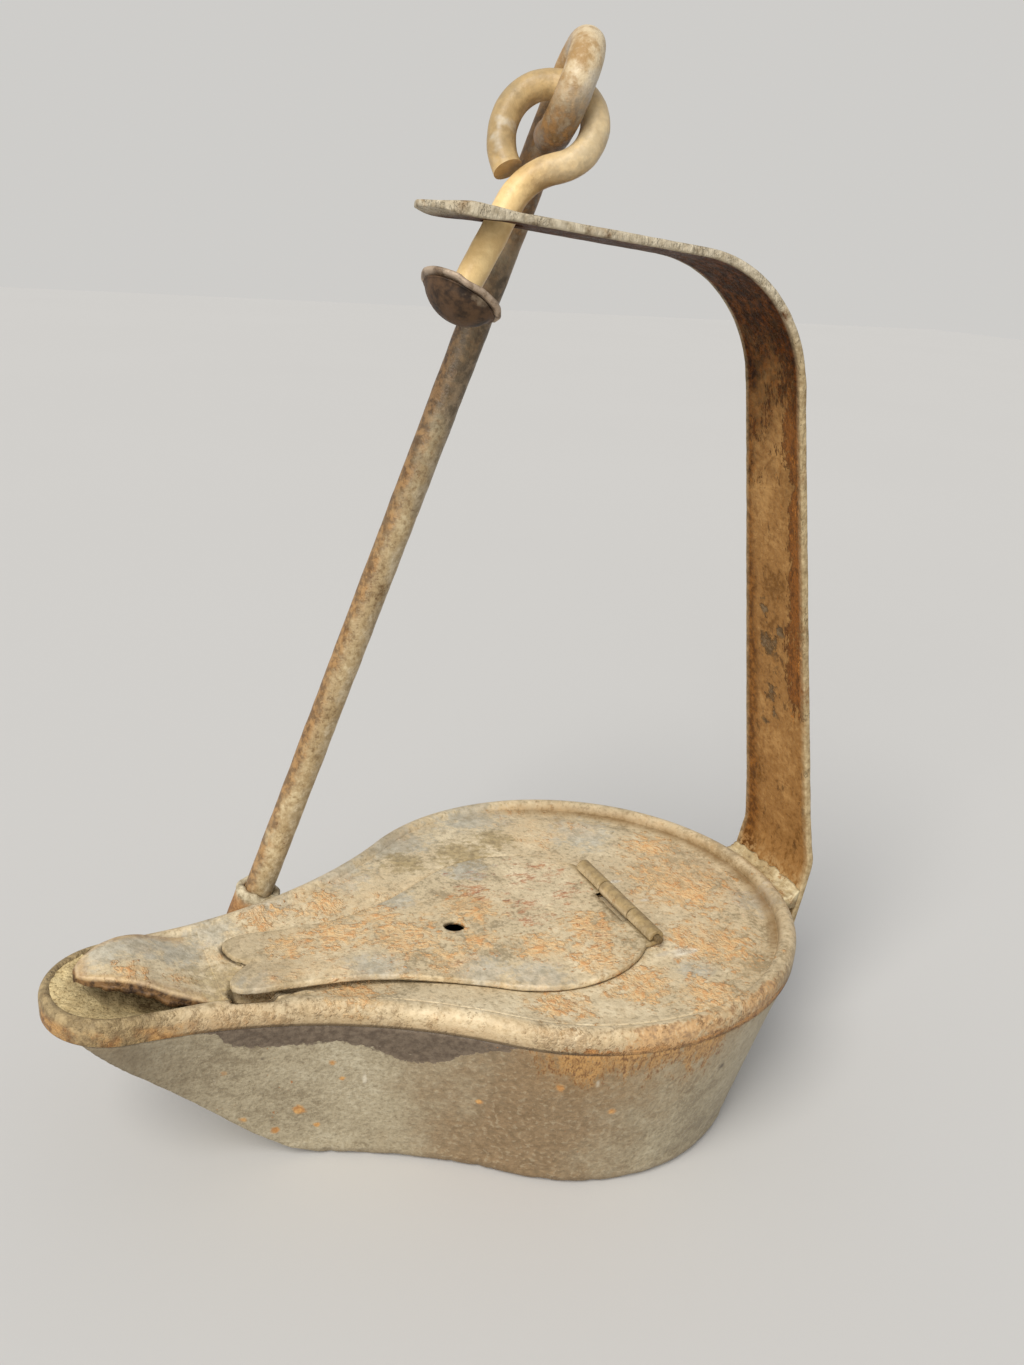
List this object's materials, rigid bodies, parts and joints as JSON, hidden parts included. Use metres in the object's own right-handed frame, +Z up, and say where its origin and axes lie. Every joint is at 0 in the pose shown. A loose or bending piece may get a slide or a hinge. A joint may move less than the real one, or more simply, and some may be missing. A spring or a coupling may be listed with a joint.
{
  "type": "betty lamp",
  "caption": "Old iron grease lamp: a pear-shaped pan with a hooded spout, a hinged fish-tailed lid, a bent strap handle and a loose swivel eye that links to a hanger rod with a hook.",
  "frame": {"origin": "On the table, under the middle of the pan's length and width, in the plane of the pan's flat base.", "axes": "+X runs from the spout's nose to the back where the handle stands, +Y to the side on which the hanger rod hangs, +Z up."},
  "size_m": [0.1282, 0.078, 0.1662],
  "materials": {
    "pan_iron": "old grey paint on pressed iron, rough, with rust spots",
    "deck_iron": "old grey paint on pressed iron, stained with orange rust",
    "hood_iron": "old grey paint, pale crest, brown edge",
    "trough_iron": "pale crust of dried grease over dark iron",
    "lid_iron": "old grey paint with flaking orange rust",
    "pin_iron": "dark iron wire",
    "strap_iron": "brown rusted iron with pale worn edges",
    "solder": "dull pale solder",
    "swivel_iron": "worn iron with a yellowish skin",
    "washer_iron": "dull pinkish grey iron",
    "rod_iron": "mottled tan and brown iron",
    "sleeve_iron": "reddish brown rust with a pale lip",
    "hook_iron": "reddish brown rust"
  },
  "bodies": {
    "lamp": {"pan": "pan_iron", "deck": "deck_iron", "spout_hood": "hood_iron", "wick_trough": "trough_iron", "lid_hinge_pin": "pin_iron", "handle_strap": "strap_iron", "handle_solder": "solder"},
    "lid": {"lid": "lid_iron"},
    "washer": {"swivel_washer": "washer_iron"},
    "swivel": {"swivel_pin": "swivel_iron"},
    "hanger": {"hanger_rod": "rod_iron", "hook_sleeve": "sleeve_iron", "hanger_hook": "hook_iron"}
  },
  "joints": [
    {"name": "lid_hinge", "type": "hinge", "parent": "lamp", "child": "lid", "pos_m": [0.0305, -0.0052, 0.0337], "axis": [0, 1, 0], "range_deg": [0, 108]},
    {"name": "swivel_lift", "type": "slide", "parent": "lamp", "child": "washer", "axis": [0.518, 0.1683, 0.8387], "range_m": [0, 0.0065]},
    {"name": "swivel_turn", "type": "hinge", "parent": "washer", "child": "swivel", "pos_m": [0.00229, -0.0022, 0.14135], "axis": [0.518, 0.1683, 0.8387], "range_deg": [0, 90]},
    {"name": "hanger_swing", "type": "hinge", "parent": "swivel", "child": "hanger", "pos_m": [0.0126, 0.00115, 0.15804], "axis": [0.9025, -0.2918, -0.3166], "range_deg": [0, 180]}
  ]
}
